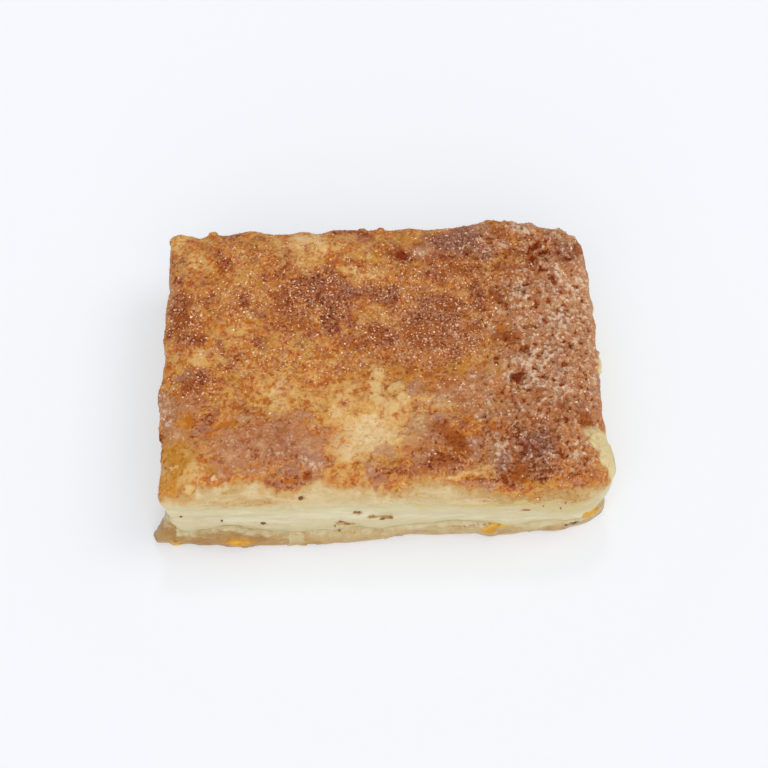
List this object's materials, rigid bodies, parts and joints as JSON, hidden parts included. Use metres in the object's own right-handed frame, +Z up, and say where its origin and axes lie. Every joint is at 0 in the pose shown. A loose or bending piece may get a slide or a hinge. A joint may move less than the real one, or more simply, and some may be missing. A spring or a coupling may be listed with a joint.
{
  "type": "cinnamon sugar cheesecake bar",
  "caption": "Baked cheesecake bar: a dough base, a cream-cheese filling and a dough top caramelised with cinnamon sugar, cut to a rectangle with two rounded corners",
  "frame": {"origin": "on the surface the bar rests on, under the middle of its bounding box", "axes": "+X along the long side, +Y from the front cut to the back, +Z up"},
  "size_m": [0.0868, 0.062, 0.0206],
  "materials": {
    "baked_dough": "soft baked dough, satin",
    "cream_cheese": "set cream cheese, satin",
    "cinnamon_sugar": "caramelised cinnamon sugar on dough, partly glossy and craggy"
  },
  "bodies": {
    "root": {"base_crust": "baked_dough", "cream_filling": "cream_cheese", "top_crust": "cinnamon_sugar"}
  },
  "joints": []
}
